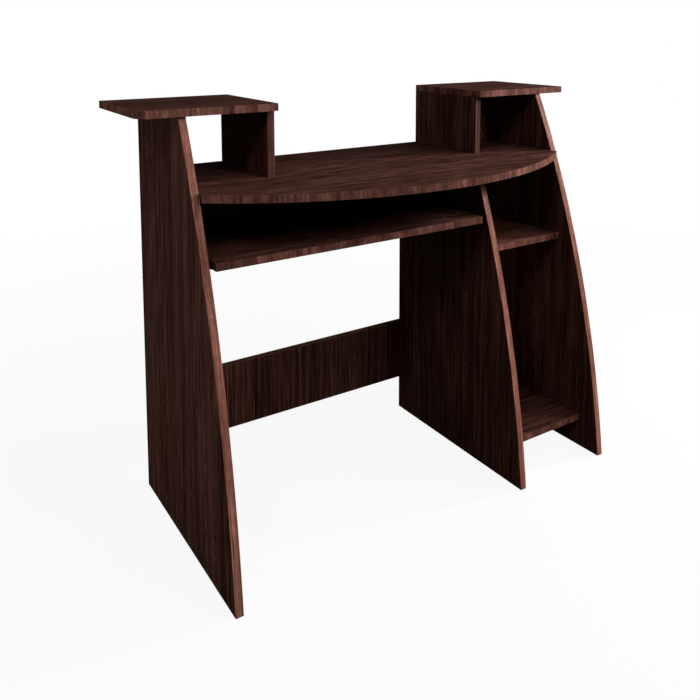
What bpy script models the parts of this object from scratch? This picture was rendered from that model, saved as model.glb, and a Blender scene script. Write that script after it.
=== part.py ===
# Computer desk of laminated chipboard, put together with cams and dowels, with a keyboard tray on roller
# runners. Metres, +Z up, +X to the user's right, +Y to the wall. The origin is on the floor, under the middle
# of the whole desk. Boards are drawn from the outer face of the left side panel (x = 0) and from the foot of
# the side panels' front edge (y = 0), and the root empty carries them to the origin.

import math
from collections import namedtuple

import bmesh
import bpy
from mathutils import Matrix, Vector

# Overall sizes
BOARD = 0.016              # thickness of every board
DESK_WIDTH = 1.000         # over the outer faces of the two side panels
DESK_DEPTH = 0.500         # foot of the front edge to the back edge of the side panels
DESKTOP_HEIGHT = 0.754     # floor to the working surface
PANEL_HEIGHT = 0.898       # floor to the top edge of the side panels, under the riser tops

# Curved front edges
PANEL_TOP_DEPTH = 0.260    # what is left of the side panels' depth at their full height
PANEL_ARC_RADIUS = 2.800   # radius of that edge
PANEL_ARC_STEPS = 20
DESKTOP_BOW = 0.160        # how far the middle of the desktop's front stands ahead of its ends
DESKTOP_BOW_STEPS = 32

# Divider, rear rails and shelves
KNEE_WIDTH = 0.702         # clear width between the left side panel and the divider
DIVIDER_BACK_INSET = 0.016 # the divider's back edge lies this far ahead of the side panels' back edge
RAIL_HEIGHT = 0.161        # height of both rear rails
LOWER_RAIL_Z = 0.096       # floor to the underside of the lower rear rail
MIDDLE_SHELF_TOP = 0.544
MIDDLE_SHELF_INSET = 0.0356  # behind the panels' front edge
BOTTOM_SHELF_TOP = 0.088
BOTTOM_SHELF_INSET = 0.0481

# Risers
RISER_CUBBY_WIDTH = 0.184  # clear width between a side panel and its riser's upright
LEFT_OVERHANG = 0.084      # left riser top beyond the left side panel
RIGHT_OVERHANG = 0.079     # right riser top beyond the right side panel
LEFT_TOP_LIP = 0.010       # left riser top's front ahead of the side panels' top
RIGHT_TOP_LIP = 0.005
UPRIGHT_SETBACK = 0.010    # risers' uprights behind the side panels' top
TOP_CORNER_RADIUS = 0.025  # rounded outer front corner of the left riser top
TOP_CORNER_STEPS = 8
RISER_BACK_INSET = 0.080   # space for cables behind the right riser's back board

# Keyboard tray
TRAY_TOP = 0.625
TRAY_DEPTH = 0.335
TRAY_REST_CLEARANCE = 0.002  # tray to upper rear rail when the tray is pushed home
TRAY_TRAVEL = 0.230

# Edging strips and the gaps between pieces
EDGING = 0.001             # thickness of the edging
GLUE_LINE = 0.0002         # edging to board
SEAT = 0.0003              # board to board, fitting to hole

# Cam fittings and dowels
CAM_RADIUS = 0.0075
CAM_DEPTH = 0.0125
CAM_INSET = 0.034          # board end to the middle of the cam
CAM_SIDES = 12
BOLT_RADIUS = 0.0035       # shank, inside the board's end
BOLT_THREAD_RADIUS = 0.0025
BOLT_THREAD_DEPTH = 0.011  # in the face of the board it is screwed into
BOLT_PAST_CAM_AXIS = 0.002
CROSS_LENGTH = 0.008       # screwdriver cross in the cam's face
CROSS_WIDTH = 0.0014
CROSS_DEPTH = 0.0015
DOWEL_RADIUS = 0.004
DOWEL_LENGTH = 0.028
DOWEL_IN_FACE = 0.010      # the rest of the dowel is glued into the board that ends there
DOWEL_CHAMFER = 0.001
DOWEL_PITCH = 0.200        # most between two dowels of a row
FITTING_INSET = 0.050      # from a joint's ends to its first fitting
ROD_SIDES = 8
SHARP_DEGREES = 50

# Roller runners
TRAY_GAP = 0.013           # side panel or divider to the tray's end, filled by the runner
RUNNER_SHEET = 0.0012
RUNNER_LENGTH = 0.300
RUNNER_FRONT_INSET = 0.024 # tray front to the runner's front end
RUNNER_REACH = 0.009       # how far the fixed runner stands out from its board
ROLLER_RADIUS = 0.009
ROLLER_WIDTH = 0.006
ROLLER_SIDES = 24
AXLE_RADIUS = 0.002
AXLE_HEAD_RADIUS = 0.0035
AXLE_HEAD = 0.0006
COLLAR = 0.0005            # on the axle, between web and roller
RUNNING_FIT = 0.0001       # axle to roller
ROLLER_CROWN = 0.0006      # how much smaller the roller is at its edges
TRACK_CLEARANCE = 0.0012   # moving runner's track to the fixed runner's web
RUNNER_HEADROOM = 0.0037   # over the rollers, under the fixed runner's upper flange
RUNNER_DROP = 0.0006       # top of the fixed runner below the top of the tray
FRONT_ROLLER_INSET = 0.013 # runner's front end to the front roller's axle
UPPER_FLANGE_CUTBACK = 0.026
REAR_ROLLER_CLEARANCE = 0.003  # rear roller to the closed end of the fixed runner, at rest
STOP_HEIGHT = 0.0025
STOP_LENGTH = 0.004
TRAY_FLANGE = 0.014        # leg of the moving runner under the tray
SCREW_RADIUS = 0.00175
SCREW_HEAD_RADIUS = 0.0035
SCREW_HEAD = 0.0011
SCREW_LENGTH = 0.012
RUNNER_SCREWS = 3
RUNNER_SCREW_INSET = 0.040 # from the runner's ends to its first and last screw

CUT_PAST = 0.002           # how far a cutter reaches past the face it opens

# Places worked out from the sizes above
KNEE_LEFT = BOARD
KNEE_RIGHT = BOARD + KNEE_WIDTH
CABINET_LEFT = KNEE_RIGHT + BOARD
CABINET_RIGHT = DESK_WIDTH - BOARD
DIVIDER_BACK = DESK_DEPTH - DIVIDER_BACK_INSET
DESKTOP_UNDERSIDE = DESKTOP_HEIGHT - BOARD
PANEL_TOP_SETBACK = DESK_DEPTH - PANEL_TOP_DEPTH
RAIL_FRONT = DIVIDER_BACK - BOARD
UPPER_RAIL_Z = DESKTOP_UNDERSIDE - RAIL_HEIGHT
LEFT_UPRIGHT_X = BOARD + RISER_CUBBY_WIDTH
RIGHT_UPRIGHT_X = CABINET_RIGHT - RISER_CUBBY_WIDTH - BOARD
LEFT_TOP_FRONT = PANEL_TOP_SETBACK - LEFT_TOP_LIP
RIGHT_TOP_FRONT = PANEL_TOP_SETBACK - RIGHT_TOP_LIP
UPRIGHT_FRONT = PANEL_TOP_SETBACK + UPRIGHT_SETBACK
RISER_BACK_FRONT = DESK_DEPTH - RISER_BACK_INSET - BOARD
TRAY_LEFT = KNEE_LEFT + TRAY_GAP
TRAY_RIGHT = KNEE_RIGHT - TRAY_GAP
TRAY_BACK = RAIL_FRONT - TRAY_REST_CLEARANCE
TRAY_FRONT = TRAY_BACK - TRAY_DEPTH
TRAY_UNDERSIDE = TRAY_TOP - BOARD
EDGED = EDGING + GLUE_LINE # a board's own edge lies this far behind its edging's face
ORIGIN = Vector(((DESK_WIDTH + RIGHT_OVERHANG - LEFT_OVERHANG) / 2, DESK_DEPTH / 2, 0.0))

SHELVES = (("middle_shelf", MIDDLE_SHELF_TOP, MIDDLE_SHELF_INSET),
           ("bottom_shelf", BOTTOM_SHELF_TOP, BOTTOM_SHELF_INSET))

RUNNER_TOP = TRAY_TOP - RUNNER_DROP
RUNNER_BOTTOM = RUNNER_TOP - 2 * RUNNER_SHEET - RUNNER_HEADROOM - 2 * ROLLER_RADIUS - SEAT
ROLLER_AXIS_Z = RUNNER_BOTTOM + RUNNER_SHEET + SEAT + ROLLER_RADIUS
RUNNER_FRONT = TRAY_FRONT + RUNNER_FRONT_INSET
RUNNER_BACK = RUNNER_FRONT + RUNNER_LENGTH
FRONT_ROLLER_Y = RUNNER_FRONT + FRONT_ROLLER_INSET
REAR_ROLLER_Y = RUNNER_BACK - RUNNER_SHEET - REAR_ROLLER_CLEARANCE - ROLLER_RADIUS

WENGE = ((0.030, 0.012, 0.009), 0.45, 0.0)
WENGE_EDGING = ((0.110, 0.045, 0.034), 0.40, 0.0)
ZINC = ((0.55, 0.55, 0.57), 0.35, 1.0)
STEEL = ((0.60, 0.60, 0.60), 0.30, 1.0)
RUNNER_PAINT = ((0.030, 0.030, 0.032), 0.45, 0.2)
NYLON = ((0.82, 0.82, 0.80), 0.40, 0.0)


def clear_scene():
    for item in list(bpy.data.objects):
        bpy.data.objects.remove(item, do_unlink=True)


def finish(name, look):
    colour, roughness, metallic = look
    material = bpy.data.materials.new(name)
    material.use_nodes = True
    shader = material.node_tree.nodes["Principled BSDF"]
    shader.inputs["Base Color"].default_value = (*colour, 1.0)
    shader.inputs["Roughness"].default_value = roughness
    shader.inputs["Metallic"].default_value = metallic
    material.diffuse_color = (*colour, 1.0)
    return material


def empty(name, place, parent=None):
    item = bpy.data.objects.new(name, None)
    item.location = place
    item.parent = parent
    bpy.context.collection.objects.link(item)
    return item


# Makes an object of a mesh that was built in desk coordinates. Its origin goes to `place`, or to the mesh's
# lowest corner.
def add_piece(name, bm, look, parent, place=None):
    if place is None:
        place = Vector([min(v.co[i] for v in bm.verts) for i in range(3)])
    bmesh.ops.recalc_face_normals(bm, faces=bm.faces)
    bmesh.ops.translate(bm, verts=bm.verts, vec=-place)
    mesh = bpy.data.meshes.new(name)
    bm.to_mesh(mesh)
    bm.free()
    item = bpy.data.objects.new(name, mesh)
    item.location = place
    item.parent = parent
    bpy.context.collection.objects.link(item)
    mesh.materials.append(finish(name + "_finish", look))
    return item


# A point of an outline, which lies across `axis`, at `depth` along it
def lift(point, axis, depth):
    u, v = point
    return {"X": Vector((depth, u, v)), "Y": Vector((u, depth, v)), "Z": Vector((u, v, depth))}[axis]


# Extrudes flat faces, given as lists of outline points, from one depth to another
def extrude(faces, axis, start, end):
    bm = bmesh.new()
    for face in faces:
        bm.faces.new([bm.verts.new(lift(point, axis, start)) for point in face])
    bmesh.ops.remove_doubles(bm, verts=bm.verts, dist=1e-7)
    made = bmesh.ops.extrude_face_region(bm, geom=bm.faces[:])
    moved = [item for item in made["geom"] if isinstance(item, bmesh.types.BMVert)]
    bmesh.ops.translate(bm, verts=moved, vec=lift((0, 0), axis, end - start))
    return bm


def rectangle(low, high):
    return [low, (high[0], low[1]), high, (low[0], high[1])]


# The faces of a strip between two rows of points
def ladder(outer, inner):
    return [[outer[i], outer[i + 1], inner[i + 1], inner[i]] for i in range(len(outer) - 1)]


def solid_board(name, outline, axis, start, end, look, parent):
    return add_piece(name, extrude([outline], axis, start, end), look, parent)


def edging(name, outer, inner, axis, start, end, parent):
    return add_piece(name, extrude(ladder(outer, inner), axis, start, end), WENGE_EDGING, parent)


def block(low, high):
    return extrude([rectangle(low[:2], high[:2])], "Z", low[2], high[2])


# Turns a profile of (radius, height) pairs round +Z
def turned(profile, sides):
    bm = bmesh.new()
    verts = [bm.verts.new((radius, 0.0, height)) for radius, height in profile]
    edges = [bm.edges.new(pair) for pair in zip(verts, verts[1:])]
    bmesh.ops.spin(bm, geom=verts + edges, cent=(0, 0, 0), axis=(0, 0, 1), angle=math.tau, steps=sides,
                   use_merge=True)
    bmesh.ops.remove_doubles(bm, verts=bm.verts, dist=1e-7)
    bmesh.ops.recalc_face_normals(bm, faces=bm.faces)
    return bm


# The place of a piece that was made along +Z: based at a point, turned to a direction, its +X to `side`
def placing(base, direction, side=None):
    axis = Vector(direction).normalized()
    across = Vector(side) if side else axis.orthogonal().normalized()
    frame = Matrix((across, axis.cross(across), axis)).transposed().to_4x4()
    frame.translation = base
    return frame


# Adds a turned profile to a bmesh, from `base` along `direction`
def turn(bm, profile, base, direction, sides):
    spare = turned(profile, sides)
    bmesh.ops.transform(spare, matrix=placing(base, direction), verts=spare.verts)
    mesh = bpy.data.meshes.new("turned")
    spare.to_mesh(mesh)
    spare.free()
    bm.from_mesh(mesh)
    bpy.data.meshes.remove(mesh)


def turned_mesh(name, profile, sides, look):
    bm = turned(profile, sides)
    mesh = bpy.data.meshes.new(name)
    bm.to_mesh(mesh)
    bm.free()
    mesh.materials.append(finish(name + "_finish", look))
    mesh.shade_smooth()
    mesh.set_sharp_from_angle(angle=math.radians(SHARP_DEGREES))
    return mesh


# A piece that shares its mesh with the others of its kind
def put(name, mesh, base, direction, parent, side=None):
    item = bpy.data.objects.new(name, mesh)
    item.parent = parent
    item.matrix_local = placing(base, direction, side)
    bpy.context.collection.objects.link(item)
    return item


def rod(bm, base, direction, radius, length, sides=ROD_SIDES):
    turn(bm, [(0, 0), (radius, 0), (radius, length), (0, length)], base, direction, sides)


# A round hole that goes `depth` into a face at `mouth`
def drill(bm, mouth, direction, radius, depth, sides=ROD_SIDES):
    base = Vector(mouth) - CUT_PAST * Vector(direction)
    rod(bm, base, direction, radius, depth + CUT_PAST, sides)


def cut(item, bm, name, parent, operation="DIFFERENCE"):
    mesh = bpy.data.meshes.new(name)
    bmesh.ops.recalc_face_normals(bm, faces=bm.faces)
    bm.to_mesh(mesh)
    bm.free()
    cutter = bpy.data.objects.new(name, mesh)
    cutter.parent = parent
    cutter.hide_render = True
    cutter.display_type = "WIRE"
    bpy.context.collection.objects.link(cutter)
    modifier = item.modifiers.new(name, "BOOLEAN")
    modifier.operation = operation
    modifier.solver = "EXACT"
    modifier.object = cutter


# The front edge of the floor panels is one arc, from the foot at y = 0 to PANEL_TOP_SETBACK at PANEL_HEIGHT
def panel_arc_centre():
    half_chord = math.hypot(PANEL_TOP_SETBACK, PANEL_HEIGHT) / 2
    reach = math.sqrt(PANEL_ARC_RADIUS**2 - half_chord**2) / (2 * half_chord)
    return PANEL_TOP_SETBACK / 2 + PANEL_HEIGHT * reach, PANEL_HEIGHT / 2 - PANEL_TOP_SETBACK * reach


def panel_front(z, behind=0.0):
    centre_y, centre_z = panel_arc_centre()
    return centre_y - math.sqrt((PANEL_ARC_RADIUS - behind)**2 - (z - centre_z)**2)


def panel_front_curve(bottom, top, behind=0.0):
    heights = [bottom + (top - bottom) * i / PANEL_ARC_STEPS for i in range(PANEL_ARC_STEPS + 1)]
    return [(panel_front(z, behind), z) for z in heights]


# A shelf's front edge stands behind the panels' front edge at the height of its top
def shelf_front(top, inset):
    return panel_front(top) + inset


# The desktop's front is one arc, symmetrical about the middle of the desk
def desktop_front(x, behind=0.0):
    half_span = DESK_WIDTH / 2 - BOARD
    radius = (half_span**2 + DESKTOP_BOW**2) / (2 * DESKTOP_BOW)
    return radius - math.sqrt((radius - behind)**2 - (x - DESK_WIDTH / 2)**2)


def desktop_front_curve(left, right, behind=0.0):
    places = [left + (right - left) * i / DESKTOP_BOW_STEPS for i in range(DESKTOP_BOW_STEPS + 1)]
    return [(x, desktop_front(x, behind)) for x in places]


# A floor panel with its curved front edge, and the edging on that edge
def floor_panel(name, left, top, back, root):
    outline = panel_front_curve(0.0, top, EDGED) + [(back, top), (back, 0.0)]
    panel = solid_board(name, outline, "X", left, left + BOARD, WENGE, root)
    outer = panel_front_curve(0.0, top)
    inner = panel_front_curve(0.0, top, EDGING)
    edging(name + "_edging", outer, inner, "X", left, left + BOARD, root)
    return panel


def desktop_board(root):
    left = KNEE_LEFT + SEAT
    right = CABINET_RIGHT - SEAT
    outline = desktop_front_curve(left, right, EDGED) + [(right, DESK_DEPTH), (left, DESK_DEPTH)]
    board = solid_board("desktop", outline, "Z", DESKTOP_UNDERSIDE, DESKTOP_HEIGHT, WENGE, root)
    outer = desktop_front_curve(left, right)
    inner = desktop_front_curve(left, right, EDGING)
    edging("desktop_edging", outer, inner, "Z", DESKTOP_UNDERSIDE, DESKTOP_HEIGHT, root)
    return board


# A flat rectangular board with edging on its front, and on its ends where `edged_ends` says
def flat_board(name, left, right, front, back, bottom, root, edged_ends=()):
    low_x = left + (EDGED if "left" in edged_ends else 0.0)
    high_x = right - (EDGED if "right" in edged_ends else 0.0)
    outline = rectangle((low_x, front + EDGED), (high_x, back))
    board = solid_board(name, outline, "Z", bottom, bottom + BOARD, WENGE, root)
    edging(name + "_edging", [(left, front), (right, front)],
           [(left, front + EDGING), (right, front + EDGING)], "Z", bottom, bottom + BOARD, root)
    for end in edged_ends:
        outer_x, inner_x = (left, left + EDGING) if end == "left" else (right, right - EDGING)
        edging(f"{name}_{end}_edging", [(outer_x, front + EDGED), (outer_x, back)],
               [(inner_x, front + EDGED), (inner_x, back)], "Z", bottom, bottom + BOARD, root)
    return board


# The left riser top: its edging runs on round the outer front corner, and its inner end has its own strip
def left_riser_top(root):
    left = -LEFT_OVERHANG
    right = LEFT_UPRIGHT_X + BOARD
    front = LEFT_TOP_FRONT
    centre = (left + TOP_CORNER_RADIUS, front + TOP_CORNER_RADIUS)

    def around(behind):
        radius = TOP_CORNER_RADIUS - behind
        turns = [math.pi * (1 + i / (2 * TOP_CORNER_STEPS)) for i in range(TOP_CORNER_STEPS + 1)]
        corner = [(centre[0] + radius * math.cos(a), centre[1] + radius * math.sin(a)) for a in turns]
        return [(left + behind, DESK_DEPTH)] + corner

    outline = around(EDGED) + [(right - EDGED, front + EDGED), (right - EDGED, DESK_DEPTH)]
    top = solid_board("left_riser_top", outline, "Z", PANEL_HEIGHT, PANEL_HEIGHT + BOARD, WENGE, root)
    edging("left_riser_top_edging", around(0.0) + [(right, front)],
           around(EDGING) + [(right, front + EDGING)], "Z", PANEL_HEIGHT, PANEL_HEIGHT + BOARD, root)
    edging("left_riser_top_right_edging", [(right, front + EDGED), (right, DESK_DEPTH)],
           [(right - EDGING, front + EDGED), (right - EDGING, DESK_DEPTH)],
           "Z", PANEL_HEIGHT, PANEL_HEIGHT + BOARD, root)
    return top


# An upright board that carries the inner end of a riser top, with edging on its front
def riser_upright(name, left, root):
    bottom = DESKTOP_HEIGHT + SEAT
    top = PANEL_HEIGHT - SEAT
    outline = rectangle((UPRIGHT_FRONT + EDGED, bottom), (DESK_DEPTH, top))
    upright = solid_board(name, outline, "X", left, left + BOARD, WENGE, root)
    edging(name + "_edging", [(UPRIGHT_FRONT, bottom), (UPRIGHT_FRONT, top)],
           [(UPRIGHT_FRONT + EDGING, bottom), (UPRIGHT_FRONT + EDGING, top)], "X", left, left + BOARD, root)
    return upright


# A rear rail between the left side panel and the divider, with edging on the edges that show
def rear_rail(name, bottom, edged, root):
    left = KNEE_LEFT + SEAT
    right = KNEE_RIGHT - SEAT
    top = bottom + RAIL_HEIGHT - (0.0 if "top" in edged else SEAT)
    low = bottom + (EDGED if "bottom" in edged else 0.0)
    high = top - (EDGED if "top" in edged else 0.0)
    outline = rectangle((left, low), (right, high))
    rail = solid_board(name, outline, "Y", RAIL_FRONT, DIVIDER_BACK, WENGE, root)
    for side in edged:
        outer_z, inner_z = (bottom, bottom + EDGING) if side == "bottom" else (top, top - EDGING)
        edging(f"{name}_{side}_edging", [(left, outer_z), (right, outer_z)],
               [(left, inner_z), (right, inner_z)], "Y", RAIL_FRONT, DIVIDER_BACK, root)
    return rail


def make_boards(root):
    boards = {}
    panel_top = PANEL_HEIGHT - SEAT
    boards["left_side_panel"] = floor_panel("left_side_panel", 0.0, panel_top, DESK_DEPTH, root)
    boards["right_side_panel"] = floor_panel("right_side_panel", CABINET_RIGHT, panel_top, DESK_DEPTH, root)
    boards["divider_panel"] = floor_panel("divider_panel", KNEE_RIGHT, DESKTOP_UNDERSIDE - SEAT,
                                          DIVIDER_BACK, root)
    boards["desktop"] = desktop_board(root)
    boards["left_riser_top"] = left_riser_top(root)
    boards["right_riser_top"] = flat_board(
        "right_riser_top", RIGHT_UPRIGHT_X, DESK_WIDTH + RIGHT_OVERHANG, RIGHT_TOP_FRONT, DESK_DEPTH,
        PANEL_HEIGHT, root, edged_ends=("left", "right"))
    boards["left_riser_upright"] = riser_upright("left_riser_upright", LEFT_UPRIGHT_X, root)
    boards["right_riser_upright"] = riser_upright("right_riser_upright", RIGHT_UPRIGHT_X, root)
    boards["right_riser_back"] = solid_board(
        "right_riser_back",
        rectangle((RIGHT_UPRIGHT_X + BOARD + SEAT, DESKTOP_HEIGHT + SEAT), (CABINET_RIGHT - SEAT, panel_top)),
        "Y", RISER_BACK_FRONT, RISER_BACK_FRONT + BOARD, WENGE, root)
    for name, top, inset in SHELVES:
        boards[name] = flat_board(name, CABINET_LEFT + SEAT, CABINET_RIGHT - SEAT, shelf_front(top, inset),
                                  DIVIDER_BACK, top - BOARD, root)
    boards["upper_rear_rail"] = rear_rail("upper_rear_rail", UPPER_RAIL_Z, ("bottom",), root)
    boards["lower_rear_rail"] = rear_rail("lower_rear_rail", LOWER_RAIL_Z, ("bottom", "top"), root)
    return boards


# Where boards meet, the end of one board stands against the face of another. Each joint names the two, with
# the points on the face for cam bolts and for dowels, the way into the board that ends there, and the way out
# of the face that its cams open on.
Joint = namedtuple("Joint", "end_board face_board inward opens cams dowels")


def joints():
    right, left, up, down, back = (1, 0, 0), (-1, 0, 0), (0, 0, 1), (0, 0, -1), (0, 1, 0)
    found = []

    # The cams draw the side panels to the desktop, and each has a dowel between them
    z = DESKTOP_HEIGHT - BOARD / 2
    front = panel_front(z) + FITTING_INSET
    rear = DESK_DEPTH - FITTING_INSET
    for panel, x, inward in (("left_side_panel", KNEE_LEFT, right),
                             ("right_side_panel", CABINET_RIGHT, left)):
        found.append(Joint("desktop", panel, inward, down, [(x, front, z), (x, rear, z)],
                           [(x, (front + rear) / 2, z)]))

    # The rear rails have one cam and one dowel at each end
    y = RAIL_FRONT + BOARD / 2
    for rail, bottom in (("upper_rear_rail", UPPER_RAIL_Z), ("lower_rear_rail", LOWER_RAIL_Z)):
        cam_z = bottom + RAIL_HEIGHT - FITTING_INSET
        dowel_z = bottom + FITTING_INSET
        for panel, x, inward in (("left_side_panel", KNEE_LEFT, right), ("divider_panel", KNEE_RIGHT, left)):
            found.append(Joint(rail, panel, inward, back, [(x, y, cam_z)], [(x, y, dowel_z)]))

    # The rest is glued together on dowels
    for shelf, top, inset in SHELVES:
        z = top - BOARD / 2
        places = dowel_row(shelf_front(top, inset), DIVIDER_BACK)
        for panel, x, inward in (("divider_panel", CABINET_LEFT, right),
                                 ("right_side_panel", CABINET_RIGHT, left)):
            found.append(Joint(shelf, panel, inward, None, [], [(x, y, z) for y in places]))

    def standing(board, x, front, rear, face_board, z, inward):
        found.append(Joint(board, face_board, inward, None, [], [(x, y, z) for y in dowel_row(front, rear)]))

    standing("divider_panel", KNEE_RIGHT + BOARD / 2, panel_front(DESKTOP_UNDERSIDE), DIVIDER_BACK,
             "desktop", DESKTOP_UNDERSIDE, down)
    standing("left_side_panel", BOARD / 2, PANEL_TOP_SETBACK, DESK_DEPTH, "left_riser_top",
             PANEL_HEIGHT, down)
    standing("right_side_panel", DESK_WIDTH - BOARD / 2, PANEL_TOP_SETBACK, DESK_DEPTH, "right_riser_top",
             PANEL_HEIGHT, down)
    for side, x in (("left", LEFT_UPRIGHT_X + BOARD / 2), ("right", RIGHT_UPRIGHT_X + BOARD / 2)):
        upright = side + "_riser_upright"
        standing(upright, x, UPRIGHT_FRONT, DESK_DEPTH, "desktop", DESKTOP_HEIGHT, up)
        standing(upright, x, UPRIGHT_FRONT, DESK_DEPTH, side + "_riser_top", PANEL_HEIGHT, down)

    places = dowel_row(RIGHT_UPRIGHT_X + BOARD, CABINET_RIGHT)
    y = RISER_BACK_FRONT + BOARD / 2
    for face_board, z, inward in (("desktop", DESKTOP_HEIGHT, up), ("right_riser_top", PANEL_HEIGHT, down)):
        found.append(Joint("right_riser_back", face_board, inward, None, [], [(x, y, z) for x in places]))
    return found


# Dowels between the ends of a joint, FITTING_INSET in from each end and no more than DOWEL_PITCH apart
def dowel_row(low, high):
    first = low + FITTING_INSET
    span = high - low - 2 * FITTING_INSET
    steps = max(1, math.ceil(span / DOWEL_PITCH))
    return [first + span * i / steps for i in range(steps + 1)]


# A cam: a disc with a pocket in its rim for the bolt's head and a cross for the screwdriver. It hangs down
# from its open face at z = 0, and its pocket opens towards +X.
def cam_mesh():
    profile = [(0, -CAM_DEPTH), (CAM_RADIUS, -CAM_DEPTH), (CAM_RADIUS, 0), (0, 0)]
    disc = add_piece("cam_pattern", turned(profile, CAM_SIDES), ZINC, None, Vector((0, 0, 0)))
    pocket = bmesh.new()
    depth = CAM_RADIUS + BOLT_PAST_CAM_AXIS + SEAT
    drill(pocket, (CAM_RADIUS, 0, SEAT - BOARD / 2), (-1, 0, 0), BOLT_RADIUS + SEAT, depth)
    cut(disc, pocket, "cam_pattern_pocket", None)
    long, short = CROSS_LENGTH / 2, CROSS_WIDTH / 2
    cut(disc, block((-long, -short, -CROSS_DEPTH), (long, short, CUT_PAST)), "cam_pattern_slot", None)
    cut(disc, block((-short, -long, -CROSS_DEPTH), (short, long, CUT_PAST)), "cam_pattern_cross_slot", None)
    bpy.context.view_layer.update()
    mesh = bpy.data.meshes.new_from_object(disc.evaluated_get(bpy.context.evaluated_depsgraph_get()))
    for item in [disc] + [modifier.object for modifier in disc.modifiers]:
        bpy.data.objects.remove(item, do_unlink=True)
    return mesh


# A cam's bolt: the thread goes down into the face that it is screwed into, and the shank up into the cam
def bolt_mesh():
    end = CAM_INSET + BOLT_PAST_CAM_AXIS
    profile = [(0, -BOLT_THREAD_DEPTH), (BOLT_THREAD_RADIUS, -BOLT_THREAD_DEPTH),
               (BOLT_THREAD_RADIUS, SEAT / 2), (BOLT_RADIUS, SEAT / 2), (BOLT_RADIUS, end), (0, end)]
    return turned_mesh("cam_bolt", profile, ROD_SIDES, STEEL)


# Drills every board for its joints, gives it its dowels, and makes the cams with their bolts
def make_fittings(boards, root):
    cam = cam_mesh()
    bolt = bolt_mesh()
    made = dict.fromkeys(boards, 0)
    pockets = {name: bmesh.new() for name in boards}
    bores = {name: bmesh.new() for name in boards}
    dowels = {name: bmesh.new() for name in boards}
    dowel = [(0, 0), (DOWEL_RADIUS, 0), (DOWEL_RADIUS, DOWEL_LENGTH - DOWEL_CHAMFER),
             (DOWEL_RADIUS - DOWEL_CHAMFER, DOWEL_LENGTH), (0, DOWEL_LENGTH)]
    for joint in joints():
        into = Vector(joint.inward)
        for point in joint.cams:
            seat = Vector(point)
            out = Vector(joint.opens)
            mouth = seat + CAM_INSET * into + BOARD / 2 * out
            drill(pockets[joint.end_board], mouth, -out, CAM_RADIUS + SEAT, CAM_DEPTH + 2 * SEAT, CAM_SIDES)
            drill(bores[joint.end_board], seat, into, BOLT_RADIUS + SEAT, CAM_INSET)
            drill(bores[joint.face_board], seat, -into, BOLT_THREAD_RADIUS + SEAT, BOLT_THREAD_DEPTH + SEAT)
            made[joint.end_board] += 1
            number = made[joint.end_board]
            put(f"{joint.end_board}_cam_{number}", cam, mouth - SEAT * out, out, root, side=-into)
            put(f"{joint.end_board}_cam_bolt_{number}", bolt, seat, into, root)
        for point in joint.dowels:
            seat = Vector(point)
            base = seat + (DOWEL_LENGTH - DOWEL_IN_FACE) * into
            turn(dowels[joint.end_board], dowel, base, -into, ROD_SIDES)
            drill(bores[joint.face_board], seat, -into, DOWEL_RADIUS + SEAT, DOWEL_IN_FACE + SEAT)
    for name, board in boards.items():
        for kind, shape, operation in (("pockets", pockets[name], "DIFFERENCE"),
                                       ("bores", bores[name], "DIFFERENCE"),
                                       ("dowels", dowels[name], "UNION")):
            if shape.verts:
                cut(board, shape, f"{name}_{kind}", root, operation)


def screw_row(front, back):
    span = back - front - 2 * RUNNER_SCREW_INSET
    return [front + RUNNER_SCREW_INSET + span * i / (RUNNER_SCREWS - 1) for i in range(RUNNER_SCREWS)]


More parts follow.
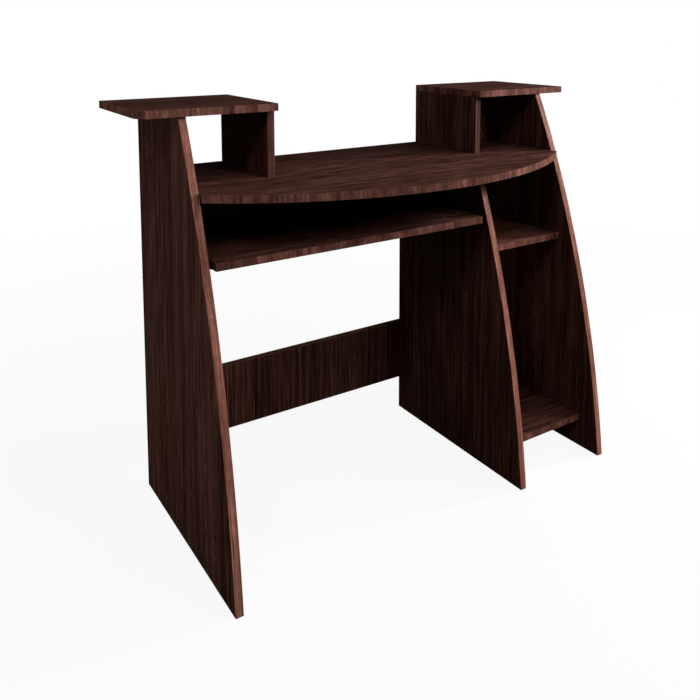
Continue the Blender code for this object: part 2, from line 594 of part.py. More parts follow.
# A runner's parts are placed by their distance from the board they are on, towards the tray, so that one
# function makes both sides: x = face + toward * distance
def runner(side, face, toward, board, tray, root):
    def at(distance, y, z):
        return Vector((face + toward * distance, y, z))

    web = SEAT + RUNNER_SHEET
    rim = SEAT + RUNNER_REACH
    low = RUNNER_BOTTOM + RUNNER_SHEET
    high = RUNNER_TOP - RUNNER_SHEET
    outward = Vector((toward, 0, 0))

    # Fixed runner: a channel that is closed at the back and open towards the tray, with a stop on its lower
    # flange for the rear roller
    near, far = sorted((face + toward * SEAT, face + toward * rim))
    bar = block((near, RUNNER_FRONT, RUNNER_BOTTOM), (far, RUNNER_BACK, RUNNER_TOP))
    fixed = add_piece(f"fixed_runner_{side}", bar, RUNNER_PAINT, root)
    roller_to_stop = math.sqrt(ROLLER_RADIUS**2 - (ROLLER_RADIUS - STOP_HEIGHT)**2)
    stop_back = REAR_ROLLER_Y - TRAY_TRAVEL - SEAT - roller_to_stop
    stop_front = stop_back - STOP_LENGTH
    channel = [(RUNNER_FRONT - CUT_PAST, low), (stop_front - STOP_HEIGHT, low),
               (stop_front, low + STOP_HEIGHT), (stop_back, low + STOP_HEIGHT), (stop_back, low),
               (RUNNER_BACK - RUNNER_SHEET, low), (RUNNER_BACK - RUNNER_SHEET, high),
               (RUNNER_FRONT - CUT_PAST, high)]
    cut(fixed, extrude([channel], "X", face + toward * web, face + toward * (rim + CUT_PAST)),
        f"fixed_runner_{side}_channel", root)
    near, far = sorted((face + toward * web, face + toward * (rim + CUT_PAST)))
    notch = block((near, RUNNER_FRONT - CUT_PAST, high - CUT_PAST),
                  (far, RUNNER_FRONT + UPPER_FLANGE_CUTBACK, RUNNER_TOP + CUT_PAST))
    cut(fixed, notch, f"fixed_runner_{side}_notch", root)

    # Its web is drilled for the axle and, countersunk, for the screws into the board
    holes = bmesh.new()
    pilots = bmesh.new()
    front_axle = at(web, FRONT_ROLLER_Y, ROLLER_AXIS_Z)
    drill(holes, front_axle, -outward, AXLE_RADIUS + SEAT, RUNNER_SHEET + CUT_PAST)
    for y in screw_row(RUNNER_FRONT, RUNNER_BACK):
        screw = at(web, y, (RUNNER_BOTTOM + RUNNER_TOP) / 2)
        sink = [(0, -CUT_PAST), (SCREW_HEAD_RADIUS, -CUT_PAST), (SCREW_HEAD_RADIUS, 0),
                (SCREW_RADIUS + SEAT, SCREW_HEAD), (SCREW_RADIUS + SEAT, RUNNER_SHEET + CUT_PAST),
                (0, RUNNER_SHEET + CUT_PAST)]
        turn(holes, sink, screw, -outward, ROD_SIDES)
        drill(pilots, screw - web * outward, -outward, SCREW_RADIUS, SCREW_LENGTH)
    cut(fixed, holes, f"fixed_runner_{side}_holes", root)
    cut(board, pilots, f"fixed_runner_{side}_pilots", root)

    # Front roller, on an axle riveted to the fixed runner's web
    roller(f"front_roller_{side}", f"front_axle_{side}", front_axle, outward, root)

    # Moving runner: a leg under the tray, a web up its end and a track that rides on the front roller
    web_outer = TRAY_GAP - SEAT
    web_inner = web_outer - RUNNER_SHEET
    track_low = ROLLER_AXIS_Z + ROLLER_RADIUS + SEAT
    track_edge = web + TRACK_CLEARANCE
    leg_top = TRAY_UNDERSIDE - SEAT
    leg_low = leg_top - RUNNER_SHEET
    section = [(web_inner, leg_low), (web_outer + TRAY_FLANGE, leg_low), (web_outer + TRAY_FLANGE, leg_top),
               (web_outer, leg_top), (web_outer, track_low + RUNNER_SHEET),
               (track_edge, track_low + RUNNER_SHEET), (track_edge, track_low), (web_inner, track_low)]
    outline = [(face + toward * distance, z) for distance, z in section]
    moving_back = REAR_ROLLER_Y + ROLLER_RADIUS
    moving = solid_board(f"moving_runner_{side}", outline, "Y", RUNNER_FRONT, moving_back, RUNNER_PAINT, root)
    holes = bmesh.new()
    pilots = bmesh.new()
    rear_axle = at(web_inner, REAR_ROLLER_Y, ROLLER_AXIS_Z)
    drill(holes, rear_axle, outward, AXLE_RADIUS + SEAT, RUNNER_SHEET + CUT_PAST)
    for y in screw_row(RUNNER_FRONT, moving_back):
        screw = at(web_outer + TRAY_FLANGE / 2, y, leg_low)
        drill(holes, screw, (0, 0, 1), SCREW_RADIUS + SEAT, RUNNER_SHEET + CUT_PAST)
        drill(pilots, screw, (0, 0, 1), SCREW_RADIUS, SCREW_LENGTH)
    cut(moving, holes, f"moving_runner_{side}_holes", root)
    cut(tray, pilots, f"moving_runner_{side}_pilots", root)

    # Rear roller, on an axle riveted to the moving runner's web, running in the fixed runner's channel
    roller(f"rear_roller_{side}", f"rear_axle_{side}", rear_axle, -outward, root)


# A roller on its riveted axle, both standing out from a runner's web at `place`. The axle's tail goes through
# the web, a collar keeps the roller off it, and a head keeps the roller on.
def roller(name, axle_name, place, direction, parent):
    start = SEAT + COLLAR + SEAT
    end = start + ROLLER_WIDTH + SEAT
    profile = [(0, -RUNNER_SHEET), (AXLE_RADIUS, -RUNNER_SHEET), (AXLE_RADIUS, SEAT),
               (AXLE_HEAD_RADIUS, SEAT), (AXLE_HEAD_RADIUS, SEAT + COLLAR), (AXLE_RADIUS, SEAT + COLLAR),
               (AXLE_RADIUS, end), (AXLE_HEAD_RADIUS, end),
               (AXLE_HEAD_RADIUS - AXLE_HEAD / 2, end + AXLE_HEAD), (0, end + AXLE_HEAD)]
    put(axle_name, turned_mesh("axle", profile, ROD_SIDES, STEEL), place, direction, parent)
    bore = AXLE_RADIUS + RUNNING_FIT
    crown = ROLLER_RADIUS - ROLLER_CROWN
    profile = [(bore, 0), (crown, 0), (ROLLER_RADIUS, ROLLER_WIDTH / 4),
               (ROLLER_RADIUS, 3 * ROLLER_WIDTH / 4), (crown, ROLLER_WIDTH), (bore, ROLLER_WIDTH), (bore, 0)]
    mesh = turned_mesh("roller", profile, ROLLER_SIDES, NYLON)
    put(name, mesh, place + start * direction, direction, parent)


# The tray and its runners. What slides is under its own empty, whose origin is on the slide's axis.
def make_tray(boards, root):
    tray = flat_board("keyboard_tray", TRAY_LEFT, TRAY_RIGHT, TRAY_FRONT, TRAY_BACK, TRAY_UNDERSIDE, root)
    runner("left", KNEE_LEFT, 1, boards["left_side_panel"], tray, root)
    runner("right", KNEE_RIGHT, -1, boards["divider_panel"], tray, root)
    slide = empty("tray_slide", ((TRAY_LEFT + TRAY_RIGHT) / 2, TRAY_FRONT, ROLLER_AXIS_Z), root)
    for item in list(root.children):
        if item.name.startswith(("keyboard_tray", "moving_runner", "rear_roller", "rear_axle")):
            item.parent = slide
            item.location -= slide.location


def main():
    clear_scene()
    root = empty("desk_root", -ORIGIN)
    boards = make_boards(root)
    make_fittings(boards, root)
    make_tray(boards, root)


main()
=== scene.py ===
import math

import bpy
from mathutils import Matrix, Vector


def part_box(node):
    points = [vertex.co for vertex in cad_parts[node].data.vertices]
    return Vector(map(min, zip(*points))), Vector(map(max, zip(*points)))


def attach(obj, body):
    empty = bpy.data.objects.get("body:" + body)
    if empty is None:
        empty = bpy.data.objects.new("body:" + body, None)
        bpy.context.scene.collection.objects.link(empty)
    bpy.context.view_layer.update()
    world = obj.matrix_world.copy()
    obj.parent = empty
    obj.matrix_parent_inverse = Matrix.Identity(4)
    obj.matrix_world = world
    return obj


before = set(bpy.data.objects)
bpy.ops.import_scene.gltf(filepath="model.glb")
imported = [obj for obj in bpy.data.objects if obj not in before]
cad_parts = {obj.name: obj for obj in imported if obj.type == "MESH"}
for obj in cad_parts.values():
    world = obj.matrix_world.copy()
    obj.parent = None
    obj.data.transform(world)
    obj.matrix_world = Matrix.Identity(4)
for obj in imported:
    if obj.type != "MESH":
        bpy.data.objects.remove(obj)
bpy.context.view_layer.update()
print("frame loaded:", len(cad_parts), "nodes")


# A socket that can stand in a sum: a + b, 1 - a, a * 0.5, a > 0.7
class Wire:
    def __init__(self, finish, socket):
        self.finish = finish
        self.socket = socket

    def sum(self, operation, first, second):
        return self.finish.node("ShaderNodeMath", {"operation": operation}, {0: first, 1: second})

    def __add__(self, other):
        return self.sum("ADD", self, other)

    def __radd__(self, other):
        return self.sum("ADD", other, self)

    def __sub__(self, other):
        return self.sum("SUBTRACT", self, other)

    def __rsub__(self, other):
        return self.sum("SUBTRACT", other, self)

    def __mul__(self, other):
        return self.sum("MULTIPLY", self, other)

    def __rmul__(self, other):
        return self.sum("MULTIPLY", other, self)

    def __gt__(self, other):
        return self.sum("GREATER_THAN", self, other)


# A node tree under construction. node() adds any node: its settings first, then what its sockets take.
class Finish:
    def __init__(self, owner):
        owner.use_nodes = True
        self.tree = owner.node_tree
        self.tree.nodes.clear()

    def node(self, kind, settings=None, sockets=None, out=0):
        made = self.tree.nodes.new(kind)
        for name, value in (settings or {}).items():
            if name == "stops":
                ramp = made.color_ramp
                while len(ramp.elements) < len(value):
                    ramp.elements.new(0.5)
                for stop, (position, colour) in zip(ramp.elements, value):
                    stop.position = position
                    stop.color = (*colour, 1)
            else:
                setattr(made, name, value)
        for name, value in (sockets or {}).items():
            if isinstance(value, Wire):
                self.tree.links.new(value.socket, made.inputs[name])
            else:
                made.inputs[name].default_value = value
        return Wire(self, made.outputs[out]) if made.outputs else None

    def parts(self, vector):
        split = self.node("ShaderNodeSeparateXYZ", {}, {0: vector}).socket.node
        return [Wire(self, socket) for socket in split.outputs]

    # Where the point is, in metres
    def point(self):
        return self.node("ShaderNodeTexCoord", out="Object")

    # 1 where the light path is of the kind that is named, otherwise 0
    def ray(self, kind):
        return self.node("ShaderNodeLightPath", out=kind)

    def vector(self, x, y, z):
        return self.node("ShaderNodeCombineXYZ", {}, {0: x, 1: y, 2: z})

    def noise(self, vector, detail, roughness):
        return self.node("ShaderNodeTexNoise", {},
                         {"Vector": vector, "Scale": 1.0, "Detail": detail, "Roughness": roughness})

    # Noise of so many cycles per metre, the same in each direction
    def mottle(self, cycles, detail, roughness):
        place = self.node("ShaderNodeVectorMath", {"operation": "SCALE"},
                          {0: self.point(), "Scale": cycles})
        return self.noise(place, detail, roughness)

    def ramp(self, factor, stops):
        return self.node("ShaderNodeValToRGB", {"stops": stops}, {0: factor})

    # Mixes two colours, which are sockets or plain colours
    def blend(self, factor, first, second):
        first, second = [c if isinstance(c, Wire) else (*c, 1) for c in (first, second)]
        return self.node("ShaderNodeMix", {"data_type": "RGBA"},
                         {0: factor, 6: first, 7: second}, out=2)

    # A value between 0 and 1 that rises as the wire goes from low to high
    def rise(self, wire, low, high):
        return self.node("ShaderNodeMapRange", {"clamp": True},
                         {0: wire, 1: low, 2: high, 3: 0.0, 4: 1.0})

    def bump(self, height, strength, distance):
        return self.node("ShaderNodeBump", {},
                         {"Height": height, "Strength": strength, "Distance": distance})

    # The tree's end: a Principled shader on the material's output
    def shade(self, sockets):
        shader = self.node("ShaderNodeBsdfPrincipled", {}, sockets)
        self.node("ShaderNodeOutputMaterial", {}, {0: shader})


def newMaterial(name):
    material = bpy.data.materials.new(name)
    return material, Finish(material)


# Wenge laminate. Cloud, band, streak and fine are the layers of its tone: cycles per metre across the
# grain, cycles per metre along it, and strength. Sway, arch, speckleLine, speckleSpot and pore have cycles
# alone. A From pair says between which values of its noise something sets in.
wenge = {
    "dark": (0.026, 0.0090, 0.0062),
    "middle": (0.080, 0.0295, 0.0205),
    "light": (0.185, 0.0760, 0.0560),
    "stops": (0.16, 0.50, 0.86),    # the tones at which these three stand
    "cloud": (13, 0.6, 0.5),
    "band": (88, 0.8, 0.6),
    "streak": (240, 1.8, 1.2),
    "fine": (600, 9, 1.4),
    "boardShift": 31.7,             # makes one board's grain differ from the next one's
    "sway": (7, 1.6),               # how the grain wanders
    "swayWidth": 0.016,
    "arch": (5.5, 0.9),             # what bends the growth rings
    "archTurn": 62,                 # radians that it turns them by
    "ringTurn": 90,                 # radians of the rings per metre across
    "ring": 0.06,
    "speckleLine": (30, 0.5),       # the lines that carry speckles, and the speckles in them
    "speckleSpot": (150, 62),
    "speckleFrom": (0.60, 0.68),
    "speckle": 2.2,
    "pore": (1500, 60),
    "poreFrom": (0.60, 0.70),
    "poreColour": 0.5,              # share of the dark colour's brightness
    "poreShade": 0.45,
    "sheen": 0.05,
    "roughness": 0.52,
    "fineRoughness": 0.16,
    "poreRoughness": 0.08,
    "fineHeight": 0.4,              # against a pore's depth of 1
    "bump": 0.25,
    "bumpDepth": 0.0002,
}
levelGrain = {"cloud": (13, 0.6, 0.3), "band": (110, 1.6, 0.5), "streak": (260, 3.5, 1.5),
              "fine": (520, 18, 1.6), "speckle": 1.2}
shortGrain = {"cloud": (20, 3.0, 0.5), "band": (46, 9.0, 1.6), "streak": (130, 20, 0.9),
              "fine": (420, 60, 0.5), "speckle": 0.0}
longGrain = {"cloud": (60, 1.0, 0.5), "band": (190, 2.0, 1.1), "streak": (380, 5.0, 1.6),
             "fine": (900, 20, 1.0), "speckle": 0.0}

# How each noise of the grain is drawn: its shift away from the others, its detail and its roughness
grainNoise = {
    "cloud": (0.0, 1.0, 0.5),
    "band": (5.3, 2.0, 0.7),
    "streak": (3.1, 2.0, 0.7),
    "fine": (7.7, 1.0, 0.6),
    "pore": (11.3, 1.0, 0.5),
    "arch": (19.0, 1.0, 0.4),
    "speckleLine": (23.0, 1.0, 0.5),
    "speckleSpot": (29.0, 2.0, 0.6),
}

# How squarely a face has to look a way to count as level, frontal or sawn, as a cosine
squarely = {"level": 0.7, "frontal": 0.5, "sawn": 0.6}

chipboard = {
    "dark": (0.19, 0.105, 0.050),
    "light": (0.47, 0.32, 0.185),
    "stops": (0.05, 0.75),
    "flakes": 700,                  # cycles per metre
    "flakeShare": 0.7,
    "dust": (900.0, 2.0, 0.6),      # cycles per metre, detail and roughness of its noise
    "dustShare": 0.8,
    "tone": 0.15,
    "roughness": 0.85,
    "relief": 3,
}


# Where a point is on its board: across the grain, along it, and a third number that differs from board to
# board. Upright faces have their grain upright, level faces from side to side, as the laminate is laid.
# With it come masks of the raw faces, each named by where it looks: back, to either side (x), up or down (z).
def grainPlace(finish, raw):
    normal = finish.node("ShaderNodeTexCoord", out="Normal")
    x, y, z = finish.parts(finish.point())
    facing = finish.parts(finish.node("ShaderNodeVectorMath", {"operation": "ABSOLUTE"}, {0: normal}))
    level = facing[2] > squarely["level"]
    frontal = (facing[1] > squarely["frontal"]) * (1 - level)
    across = y + (x - y) * frontal
    along = z + (x - z) * level
    depth = x + (y - x) * frontal + (z - x) * level
    looks = {"x": facing[0], "z": facing[2]}
    if "back" in raw:
        looks["back"] = finish.parts(normal)[1]
    return (across, along, depth), [looks[way] > squarely["sawn"] for way in raw]


# The laminate's tone, with its finest layer and its pores, which the roughness and relief follow too
def grainTone(finish, place, look):
    across, along, depth = place
    seed = depth * look["boardShift"]
    wide, long = look["sway"]
    sway = finish.noise(finish.vector(across * wide, along * long, seed), detail=1.0, roughness=0.5) - 0.5
    across = across + sway * look["swayWidth"]
    layers = {}
    for name, (shift, detail, roughness) in grainNoise.items():
        spot = finish.vector(across * look[name][0], along * look[name][1], seed + shift)
        layers[name] = finish.noise(spot, detail, roughness)
    # rings of a flat-sawn plank, bent into long arches by a slow noise
    ring = finish.node("ShaderNodeMath", {"operation": "SINE"},
                       {0: layers["arch"] * look["archTurn"] + across * look["ringTurn"]})
    # a few lines along the grain carry speckles, as where a ray or a small knot is cut
    speckLine = finish.rise(layers["speckleLine"], *look["speckleFrom"])
    speck = layers["speckleSpot"] - 0.5
    tone = 0.5 + ring * look["ring"] + speck * speckLine * look["speckle"]
    for name in ("cloud", "band", "streak", "fine"):
        tone = tone + (layers[name] - 0.5) * look[name][2]
    return tone, layers["fine"], finish.rise(layers["pore"], *look["poreFrom"])


# Laminate with a print of wenge. raw names the faces that are sawn chipboard, the gain is painted light that
# lightens the print in place of light on an edging's face, calm pulls its tones together, lean shifts its
# hue, and grain gives what differs from wenge's own values.
def wengeMaterial(name, raw=(), paintedLightGain=1.0, calm=1.0, lean=(1.0, 1.0, 1.0), grain=None):
    material, finish = newMaterial(name)
    look = {**wenge, **(grain or {})}
    place, masks = grainPlace(finish, raw)
    tone, fine, pores = grainTone(finish, place, look)
    tone = 0.5 + (tone - 0.5) * calm

    # the gain here is painted light, not a lighter print
    def tint(colour, dim=1.0):
        return tuple(c * paintedLightGain * dim * k for c, k in zip(colour, lean))

    shades = [tint(look[shade]) for shade in ("dark", "middle", "light")]
    colour = finish.ramp(tone, list(zip(look["stops"], shades)))
    colour = finish.blend(pores * look["poreShade"], colour, tint(look["dark"], look["poreColour"]))
    roughness = look["roughness"] + (fine - 0.5) * look["fineRoughness"] + pores * look["poreRoughness"]
    height = fine * look["fineHeight"] - pores
    if raw:
        core, flakes = chipboardTone(finish)
    for mask in masks:
        colour = finish.blend(mask, colour, core)
        roughness = roughness + (chipboard["roughness"] - roughness) * mask
        height = height + (flakes * chipboard["relief"] - height) * mask
    finish.shade({"Base Color": colour, "Roughness": roughness, "Specular IOR Level": look["sheen"],
                  "Normal": finish.bump(height, look["bump"], look["bumpDepth"])})
    return material


# The sawn core of a board: pale flakes pressed together, with dark chips and gaps among them
def chipboardTone(finish):
    flake = finish.node("ShaderNodeTexVoronoi", {"feature": "F1"},
                        {"Vector": finish.point(), "Scale": chipboard["flakes"], "Randomness": 1.0},
                        out="Color")
    chip = finish.parts(flake)[0]
    dust = finish.mottle(*chipboard["dust"])
    tone = chip * chipboard["flakeShare"] + (dust - 0.5) * chipboard["dustShare"] + chipboard["tone"]
    shades = (chipboard["dark"], chipboard["light"])
    return finish.ramp(tone, list(zip(chipboard["stops"], shades))), tone


print("wenge")
wengeUpright = wengeMaterial("wengeUprightBoard", raw=("back", "z"))
wengeLevel = wengeMaterial("wengeLevelBoard", raw=("back",), grain=levelGrain)
wengeCross = wengeMaterial("wengeCrossBoard", raw=("x", "z"))
wengeTray = wengeMaterial("wengeTrayBoard", grain=levelGrain)
# The edgings are lighter copies of the same print: their gain is painted light on their front faces
panelEdging = wengeMaterial("wengePanelEdging", paintedLightGain=3.65, calm=0.5, lean=(1.0, 1.04, 1.02),
                            grain=longGrain)
bandEdging = wengeMaterial("wengeShelfEdging", paintedLightGain=2.15, calm=0.72, lean=(1.0, 1.05, 1.08),
                           grain=shortGrain)
uprightEdging = wengeMaterial("wengeUprightEdging", paintedLightGain=1.2, calm=0.6, lean=(1.0, 1.03, 1.15))


# Black paint of the runners: a fine peel, and paler rubbed marks that are drawn out along the slide.
# A noise is given as its cycles per metre, its detail and its roughness.
paint = {
    "colour": (0.012, 0.012, 0.013),
    "rubbed": (0.055, 0.055, 0.058),
    "roughness": 0.42,
    "sheen": 0.4,
    "peel": (1800.0, 2.0, 0.5),
    "peelRoughness": 0.3,
    "rubCycles": (500, 26, 500),
    "rubNoise": (3.0, 0.6),
    "rubFrom": (0.60, 0.78),
    "rubGloss": 0.1,
    "bump": 0.3,
    "bumpDepth": 0.0001,
}


def runnerPaint():
    material, finish = newMaterial("runnerBlackPaint")
    peel = finish.mottle(*paint["peel"])
    drawnOut = finish.node("ShaderNodeVectorMath", {"operation": "MULTIPLY"},
                           {0: finish.point(), 1: paint["rubCycles"]})
    rub = finish.rise(finish.noise(drawnOut, *paint["rubNoise"]), *paint["rubFrom"])
    colour = finish.blend(rub, paint["colour"], paint["rubbed"])
    roughness = paint["roughness"] + (peel - 0.5) * paint["peelRoughness"] - rub * paint["rubGloss"]
    finish.shade({"Base Color": colour, "Roughness": roughness, "Specular IOR Level": paint["sheen"],
                  "Normal": finish.bump(peel, paint["bump"], paint["bumpDepth"])})
    return material


# Metal and nylon of the fittings. Stains are slow and change the colour, marks are fine and change the
# roughness and the relief. Each is given as cycles per metre, detail and roughness of its noise.
fittings = {
    "castZinc": {
        "dark": (0.30, 0.30, 0.31), "light": (0.46, 0.46, 0.47), "stops": (0.3, 0.7), "metallic": 1.0,
        "roughness": 0.48, "stains": (240.0, 3.0, 0.6), "marks": (1500.0, 2.0, 0.6),
        "markRoughness": 0.3, "bump": 0.2, "bumpDepth": 0.0001,
    },
    "zincPlatedSteel": {
        "dark": (0.48, 0.48, 0.47), "light": (0.66, 0.66, 0.65), "stops": (0.3, 0.7), "metallic": 1.0,
        "roughness": 0.30, "stains": (240.0, 3.0, 0.6), "marks": (2200.0, 2.0, 0.6),
        "markRoughness": 0.3, "bump": 0.2, "bumpDepth": 0.0001,
    },
    "whiteNylon": {
        "dark": (0.62, 0.61, 0.56), "light": (0.80, 0.80, 0.77), "stops": (0.25, 0.75), "metallic": 0.0,
        "roughness": 0.38, "stains": (160.0, 2.0, 0.5), "marks": (2400.0, 1.0, 0.5),
        "markRoughness": 0.2, "bump": 0.1, "bumpDepth": 0.0001,
    },
}


def fittingMaterial(name):
    look = fittings[name]
    material, finish = newMaterial(name)
    stain = finish.mottle(*look["stains"])
    mark = finish.mottle(*look["marks"])
    colour = finish.ramp(stain, list(zip(look["stops"], (look["dark"], look["light"]))))
    finish.shade({"Base Color": colour, "Metallic": look["metallic"],
                  "Roughness": look["roughness"] + (mark - 0.5) * look["markRoughness"],
                  "Normal": finish.bump(mark, look["bump"], look["bumpDepth"])})
    return material


print("metal and nylon")
blackPaint = runnerPaint()
castZinc = fittingMaterial("castZinc")
platedSteel = fittingMaterial("zincPlatedSteel")
nylon = fittingMaterial("whiteNylon")


def dress(material, names):
    for name in names:
        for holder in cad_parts[name].material_slots:
            holder.material = material


sides = ("left", "right")
dress(wengeUpright, ["left_side_panel", "right_side_panel", "divider_panel",
                     "left_riser_upright", "right_riser_upright"])
dress(wengeLevel, ["desktop", "left_riser_top", "right_riser_top", "middle_shelf", "bottom_shelf"])
dress(wengeCross, ["upper_rear_rail", "lower_rear_rail", "right_riser_back"])
dress(wengeTray, ["keyboard_tray"])
dress(panelEdging, ["left_side_panel_edging", "right_side_panel_edging", "divider_panel_edging"])
dress(bandEdging, ["desktop_edging", "left_riser_top_edging", "left_riser_top_right_edging",
                   "right_riser_top_edging", "right_riser_top_left_edging", "right_riser_top_right_edging",
                   "middle_shelf_edging", "bottom_shelf_edging", "keyboard_tray_edging",
                   "upper_rear_rail_bottom_edging", "lower_rear_rail_bottom_edging",
                   "lower_rear_rail_top_edging"])
dress(uprightEdging, ["left_riser_upright_edging", "right_riser_upright_edging"])
dress(blackPaint, [f"{kind}_runner_{side}" for kind in ("fixed", "moving") for side in sides])
dress(nylon, [f"{kind}_roller_{side}" for kind in ("front", "rear") for side in sides])
dress(platedSteel, [f"{kind}_axle_{side}" for kind in ("front", "rear") for side in sides])
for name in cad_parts:
    if "_cam_bolt_" in name:
        dress(platedSteel, [name])
    elif "_cam_" in name:
        dress(castZinc, [name])
print("frame dressed")


screw = {
    "sheet": 0.0012,            # thickness of the runners' steel
    "inset": 0.040,             # from a runner's end to its first and last screw
    "flangeMiddle": 0.0070,     # from a moving runner's edge under the tray to its row of screws
    "count": 3,
    "headRadius": 0.0033,
    "sides": 24,
    "sinkDepth": 0.0010,        # height of the countersunk head
    "panHeight": 0.0013,
    "panFace": 0.72,            # the pan head's flat face as a share of its width
    "panSteps": (0.35, 0.65),   # shares of its height, and how much it widens over each
    "panWidening": (1.28, 1.085),
    "shankRadius": 0.00155,
    "length": 0.0105,
    "threads": 8,
    "threadShare": 0.82,        # of the length; the rest is the point
    "threadRoot": 0.82,         # share of the shank's radius
    "tip": 0.15,
    "recess": (0.0036, 0.0008, 0.0016),     # length, width and height of a blade that cuts the cross
    "recessTaper": 0.5,
}


def clearSelection():
    bpy.ops.object.select_all(action="DESELECT")


# Selects the faces that pass the test, and no others, of the piece in edit mode
def pickFaces(piece, test):
    bpy.ops.mesh.select_mode(type="FACE")
    bpy.ops.mesh.select_all(action="DESELECT")
    bpy.ops.object.mode_set(mode="OBJECT")
    for face in piece.data.polygons:
        face.select = test(face)
    bpy.ops.object.mode_set(mode="EDIT")


# Scales what is selected about the screw's own axis
def swell(scale):
    bpy.ops.transform.resize(value=(scale, scale, 1), center_override=(0, 0, 0))


# Extrudes what is selected upwards, then scales it
def growUp(height, scale):
    bpy.ops.mesh.extrude_region_move(TRANSFORM_OT_translate={"value": (0, 0, height)})
    swell(scale)


# A screw that stands on its head: its head's face is at z = 0 and its shank goes up
def makeScrew(name, pan):
    clearSelection()
    headDepth = screw["panHeight"] if pan else screw["sinkDepth"]
    bpy.ops.mesh.primitive_circle_add(vertices=screw["sides"], radius=screw["headRadius"], fill_type="NGON")
    piece = bpy.context.active_object
    piece.name = name
    neck = screw["shankRadius"] / screw["headRadius"]
    bpy.ops.object.mode_set(mode="EDIT")
    bpy.ops.mesh.select_all(action="SELECT")
    if pan:
        swell(screw["panFace"])
        for share, widening in zip(screw["panSteps"], screw["panWidening"]):
            growUp(headDepth * share, widening)
        growUp(0.0, neck)
    else:
        growUp(headDepth, neck)
    # threads: rings that swell and shrink along the shank, then a point
    pitch = screw["length"] * screw["threadShare"] / screw["threads"]
    for _ in range(screw["threads"]):
        growUp(pitch * 0.5, screw["threadRoot"])
        growUp(pitch * 0.5, 1 / screw["threadRoot"])
    growUp(screw["length"] * (1 - screw["threadShare"]), screw["tip"])
    bpy.ops.mesh.select_all(action="SELECT")
    bpy.ops.mesh.normals_make_consistent(inside=False)
    bpy.ops.object.mode_set(mode="OBJECT")
    cutRecess(piece)
    piece.data.materials.append(platedSteel)
    return piece


# The cross recess: two blades, narrower where they reach in, cut out of the head one after the other
def cutRecess(piece):
    long, wide, high = screw["recess"]
    for size in ((long, wide, high), (wide, long, high)):
        clearSelection()
        bpy.ops.mesh.primitive_cube_add(size=1)
        blade = bpy.context.active_object
        bpy.ops.object.mode_set(mode="EDIT")
        bpy.ops.transform.resize(value=size, center_override=(0, 0, 0))
        pickFaces(blade, lambda face: face.normal.z > 0.9)
        swell(screw["recessTaper"])
        bpy.ops.object.mode_set(mode="OBJECT")
        clearSelection()
        piece.select_set(True)
        bpy.context.view_layer.objects.active = piece
        cut = piece.modifiers.new("recess", "BOOLEAN")
        cut.object = blade
        cut.solver = "EXACT"
        bpy.ops.object.modifier_apply(modifier=cut.name)
        bpy.data.objects.remove(blade)


# Puts a copy of a screw with its head's face at a place and its shank along an axis
def placeScrew(model, name, place, along, body):
    clearSelection()
    piece = model.copy()
    piece.data = model.data.copy()
    piece.name = name
    bpy.context.collection.objects.link(piece)
    turn = Vector((0, 0, 1)).rotation_difference(Vector(along)).to_matrix().to_4x4()
    turn.translation = place
    piece.data.transform(turn)
    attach(piece, body)


# Where the screws of a runner stand along y
def screwRow(front, back):
    span = back - front - 2 * screw["inset"]
    return [front + screw["inset"] + span * i / (screw["count"] - 1) for i in range(screw["count"])]


sunkScrew = makeScrew("sunk_screw_model", pan=False)
panScrew = makeScrew("pan_screw_model", pan=True)
for side, toward in (("left", 1), ("right", -1)):
    low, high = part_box(f"fixed_runner_{side}")
    web = low.x + screw["sheet"] if toward > 0 else high.x - screw["sheet"]
    for i, y in enumerate(screwRow(low.y, high.y), 1):
        placeScrew(sunkScrew, f"fixed_runner_{side}_screw_{i}", (web, y, (low.z + high.z) / 2),
                   (-toward, 0, 0), "desk_frame")
    low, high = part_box(f"moving_runner_{side}")
    flange = high.x - screw["flangeMiddle"] if toward > 0 else low.x + screw["flangeMiddle"]
    for i, y in enumerate(screwRow(low.y, high.y), 1):
        placeScrew(panScrew, f"moving_runner_{side}_screw_{i}", (flange, y, low.z - screw["panHeight"]),
                   (0, 0, 1), "keyboard_tray")
for model in (sunkScrew, panScrew):
    bpy.data.objects.remove(model)
print("screws")


studio = {
    "floorSize": 60.0,
    "floorDrop": 0.0005,        # below the panels' lower ends
    "floorTone": (0.9, 0.9, 0.9),
    "floorWhite": 0.92,         # share of plain white in the floor by the desk; the rest takes the shadow
    "floorFade": (0.9, 2.8),    # metres from the origin between which the floor turns all white
    "bounce": (0.10, 0.10, 0.10),   # tone of the floor as the desk's surfaces see it
    "ambient": 0.075,           # strength of the room's light on the desk's surfaces
    "glossy": 0.03,             # and in their reflections
    "aim": (0.0, -0.05, 0.60),
    "lamps": {
        "keyLamp": {"place": (1.75, -0.45, 1.22), "size": 0.12, "level": 0.47},
        "sideLamp": {"place": (4.58, -1.11, 2.31), "size": 0.25, "level": 0.34},
        "cornerLamp": {"place": (3.60, -2.86, 2.63), "size": 1.05, "level": 0.27},
        "topLamp": {"place": (2.17, -1.30, 4.93), "size": 1.30, "level": 0.05},
        "frontLamp": {"place": (1.34, -4.17, 3.10), "size": 1.30, "level": 0.20},
        "leftLamp": {"place": (-1.80, 0.10, 0.55), "size": 0.45, "level": 0.10},
        "fillLamp": {"place": (-2.20, -1.71, 2.75), "size": 0.75, "level": 0.11},
        "backLamp": {"place": (2.20, 4.20, 0.13), "size": 0.22, "level": 0.55},
    },
}


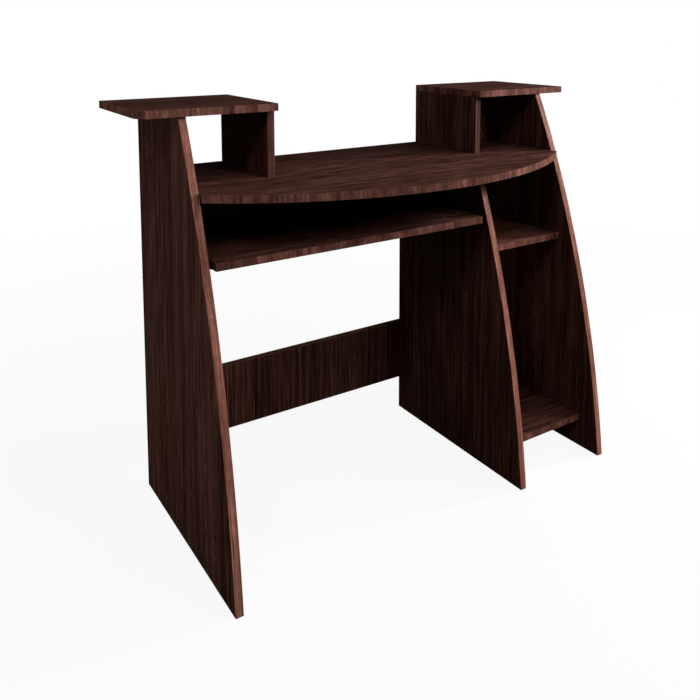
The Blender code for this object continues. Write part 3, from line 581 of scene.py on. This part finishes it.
# White to the camera, with the desk's shadow on it, and dim to everything else
def makeFloor():
    clearSelection()
    bpy.ops.mesh.primitive_plane_add(size=studio["floorSize"], location=(0, 0, -studio["floorDrop"]))
    floor = bpy.context.active_object
    floor.name = "floor"
    material, finish = newMaterial("paleFloor")
    seen = finish.ray("Is Camera Ray") + finish.ray("Is Transmission Ray")
    distance = finish.node("ShaderNodeVectorMath", {"operation": "LENGTH"}, {0: finish.point()},
                           out="Value")
    far = finish.rise(distance, *studio["floorFade"])
    white = finish.node("ShaderNodeEmission", {}, {"Color": (1, 1, 1, 1), "Strength": 1.0})
    lit = finish.node("ShaderNodeBsdfDiffuse", {}, {"Color": (*studio["floorTone"], 1)})
    keep = studio["floorWhite"]
    pale = finish.node("ShaderNodeMixShader", {}, {0: keep + far * (1 - keep), 1: lit, 2: white})
    dim = finish.node("ShaderNodeBsdfDiffuse", {}, {"Color": (*studio["bounce"], 1)})
    shader = finish.node("ShaderNodeMixShader", {}, {0: seen, 1: dim, 2: pale})
    finish.node("ShaderNodeOutputMaterial", {}, {0: shader})
    floor.data.materials.append(material)


# White where the camera looks past the desk, and dim to the desk, so that the lamps give most of its light
def makeWorld():
    world = bpy.data.worlds.new("studio")
    bpy.context.scene.world = world
    finish = Finish(world)
    seen = finish.ray("Is Camera Ray") + finish.ray("Is Transmission Ray")
    white, room, dim = [
        finish.node("ShaderNodeBackground", {}, {"Color": (1, 1, 1, 1), "Strength": strength})
        for strength in (1.0, studio["glossy"], studio["ambient"])]
    inside = finish.node("ShaderNodeMixShader", {}, {0: finish.ray("Is Glossy Ray"), 1: dim, 2: room})
    shader = finish.node("ShaderNodeMixShader", {}, {0: seen, 1: inside, 2: white})
    finish.node("ShaderNodeOutputWorld", {}, {0: shader})


# A square softbox. Its level is what a white surface facing it at the desk's middle would show.
def softbox(name, place, size, level):
    lamp = bpy.data.lights.new(name, "AREA")
    lamp.shape = "SQUARE"
    lamp.size = size
    aim = Vector(studio["aim"]) - Vector(place)
    lamp.energy = level * math.pi ** 2 * aim.length_squared
    holder = bpy.data.objects.new(name, lamp)
    holder.location = place
    holder.rotation_euler = aim.to_track_quat("-Z", "Y").to_euler()
    bpy.context.scene.collection.objects.link(holder)


# The photograph's camera, as fitted to the desk's corners
photoView = {
    "place": (-1.01418, -1.45568, 1.06744),
    "rotation": (84.204, 0.05, -33.093),    # degrees
    "lens": 39.38,
    "sensor": 36.0,
    "shift": (-0.0132, -0.3464),
}


def makeCamera():
    lens = bpy.data.cameras.new("camera")
    lens.lens = photoView["lens"]
    lens.sensor_width = photoView["sensor"]
    lens.shift_x, lens.shift_y = photoView["shift"]
    camera = bpy.data.objects.new("camera", lens)
    camera.location = photoView["place"]
    camera.rotation_euler = [math.radians(angle) for angle in photoView["rotation"]]
    bpy.context.scene.collection.objects.link(camera)
    bpy.context.scene.camera = camera


makeFloor()
makeWorld()
for lampName, lamp in studio["lamps"].items():
    softbox(lampName, **lamp)
makeCamera()
bpy.context.scene.view_settings.view_transform = "Standard"
print("studio")
